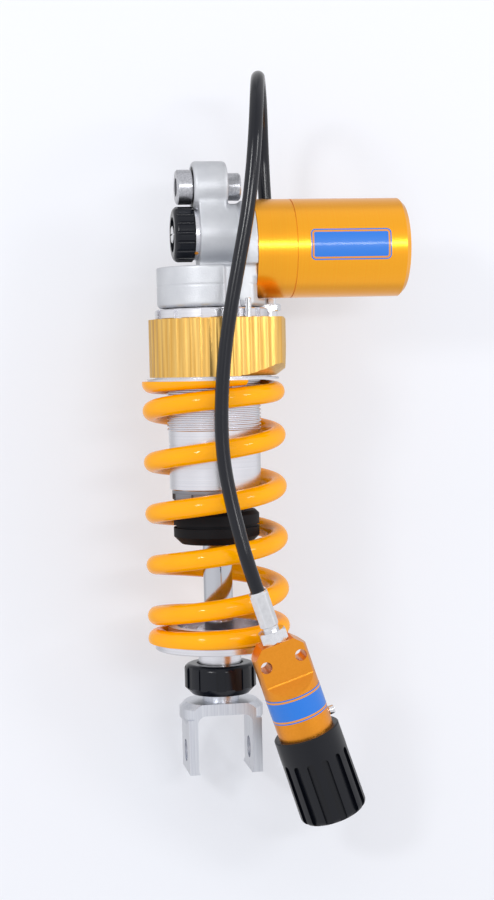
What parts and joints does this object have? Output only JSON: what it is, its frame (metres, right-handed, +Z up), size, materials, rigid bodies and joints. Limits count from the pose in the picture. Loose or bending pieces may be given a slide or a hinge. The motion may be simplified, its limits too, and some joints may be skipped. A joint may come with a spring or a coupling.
{
  "type": "motorcycle rear shock absorber",
  "caption": "Motorcycle rear shock absorber with coil spring, side gas reservoir, hydraulic preload jack, hose and remote preload knob.",
  "frame": {"origin": "centre of the top eye, on the axis of its bolt", "axes": "+Z up along the shock's axis, away from the clevis; +X along the eye's bolt, towards the reservoir"},
  "size_m": [0.1456, 0.1083, 0.4023],
  "materials": {
    "cast_alloy": "satin cast and bead blasted",
    "machined_alloy": "machined and clear anodised",
    "gold_anodised": "gold anodised, satin",
    "spring_paint": "glossy powder coat",
    "chromed_steel": "ground and polished",
    "plated_steel": "zinc plated",
    "brass_parts": "turned",
    "black_knob": "satin black anodised",
    "hose_rubber": "smooth, slightly glossy",
    "seal_rubber": "matte",
    "bearing_plastic": "matte",
    "bump_foam": "matte moulded"
  },
  "bodies": {
    "shock_body": {"shock_head": "cast_alloy", "eye_bearing": "plated_steel", "eye_seals": "seal_rubber", "damper_tube": "machined_alloy", "lock_ring": "machined_alloy", "preload_housing": "gold_anodised", "shaft_guide": "machined_alloy", "shaft_bush": "bearing_plastic", "shaft_seal": "seal_rubber", "dust_wiper": "seal_rubber", "reservoir_tube": "gold_anodised", "reservoir_cap": "machined_alloy", "reservoir_clip": "plated_steel", "gas_valve": "brass_parts", "valve_cartridge": "machined_alloy", "adjuster_collar": "machined_alloy", "hose_fitting": "plated_steel", "upper_crimp": "plated_steel", "bleed_screw": "plated_steel", "hose": "hose_rubber", "lower_crimp": "plated_steel", "hose_nut": "plated_steel", "remote_body": "gold_anodised", "remote_screw": "plated_steel", "spring": "spring_paint"},
    "eye_sleeve_set": {"eye_sleeve": "plated_steel", "left_spacer": "plated_steel", "right_spacer": "plated_steel"},
    "preload_ram": {"preload_piston": "machined_alloy", "jack_seal": "seal_rubber"},
    "shaft_set": {"damper_shaft": "chromed_steel", "rebound_shims": "plated_steel", "compression_shims": "plated_steel", "damper_piston": "machined_alloy", "piston_band": "bearing_plastic", "piston_nut": "plated_steel", "lower_seat": "machined_alloy", "clevis": "machined_alloy"},
    "rebound_dial": {"rebound_knob": "black_knob"},
    "rebound_needle": {"rebound_rod": "plated_steel"},
    "bump_stop": {"bump_rubber": "bump_foam"},
    "gas_piston": {"floating_piston": "gold_anodised", "float_ring": "seal_rubber"},
    "compression_dial": {"compression_knob": "black_knob", "compression_screw": "plated_steel", "compression_spindle": "plated_steel"},
    "compression_valve_needle": {"compression_needle": "plated_steel"},
    "remote_dial": {"remote_knob": "black_knob", "remote_spindle": "plated_steel"},
    "remote_ram": {"remote_piston": "machined_alloy"}
  },
  "joints": [
    {"name": "shaft_stroke", "type": "slide", "parent": "shock_body", "child": "shaft_set", "axis": [0, 0, 1], "range_m": [0, 0.045], "stiffness_N_per_m": 85000, "deforming": ["spring"]},
    {"name": "gas_piston_slide", "type": "slide", "parent": "shock_body", "child": "gas_piston", "axis": [1, 0, 0], "range_m": [0, 0.0055]},
    {"name": "bump_stop_slide", "type": "slide", "parent": "shock_body", "child": "bump_stop", "axis": [0, 0, 1], "range_m": [0, 0.004]},
    {"name": "eye_swing", "type": "hinge", "parent": "shock_body", "child": "eye_sleeve_set", "pos_m": [0, 0, 0], "axis": [1, 0, 0], "range_deg": [-30, 30]},
    {"name": "compression_turn", "type": "hinge", "parent": "shock_body", "child": "compression_dial", "pos_m": [-0.015, 0, -0.0255], "axis": [1, 0, 0], "range_deg": [0, 720]},
    {"name": "compression_needle_slide", "type": "slide", "parent": "shock_body", "child": "compression_valve_needle", "axis": [1, 0, 0], "range_m": [0, 0.0015]},
    {"name": "rebound_turn", "type": "hinge", "parent": "shaft_set", "child": "rebound_dial", "pos_m": [0, 0, -0.268], "axis": [0, 0, 1], "range_deg": [0, 1080]},
    {"name": "rebound_needle_slide", "type": "slide", "parent": "shaft_set", "child": "rebound_needle", "axis": [0, 0, 1], "range_m": [0, 0.0024]},
    {"name": "remote_turn", "type": "hinge", "parent": "shock_body", "child": "remote_dial", "pos_m": [0.0218, -0.052, -0.2417], "axis": [-0.3149, -0.0698, 0.9466], "range_deg": [0, 3360]},
    {"name": "remote_ram_slide", "type": "slide", "parent": "shock_body", "child": "remote_ram", "axis": [-0.3149, -0.0698, 0.9466], "range_m": [0, 0.0141]},
    {"name": "preload_ram_slide", "type": "slide", "parent": "shock_body", "child": "preload_ram", "axis": [0, 0, -1], "range_m": [0, 0.006]}
  ],
  "couplings": [
    {"joint": "gas_piston_slide", "follows": "shaft_stroke", "ratio": 0.12098},
    {"joint": "compression_needle_slide", "follows": "compression_turn", "m_per_rad": 0.00011141},
    {"joint": "rebound_needle_slide", "follows": "rebound_turn", "m_per_rad": 0.00012573},
    {"joint": "remote_ram_slide", "follows": "remote_turn", "m_per_rad": 0.00023873},
    {"joint": "preload_ram_slide", "follows": "remote_turn", "m_per_rad": 0.000099472}
  ]
}
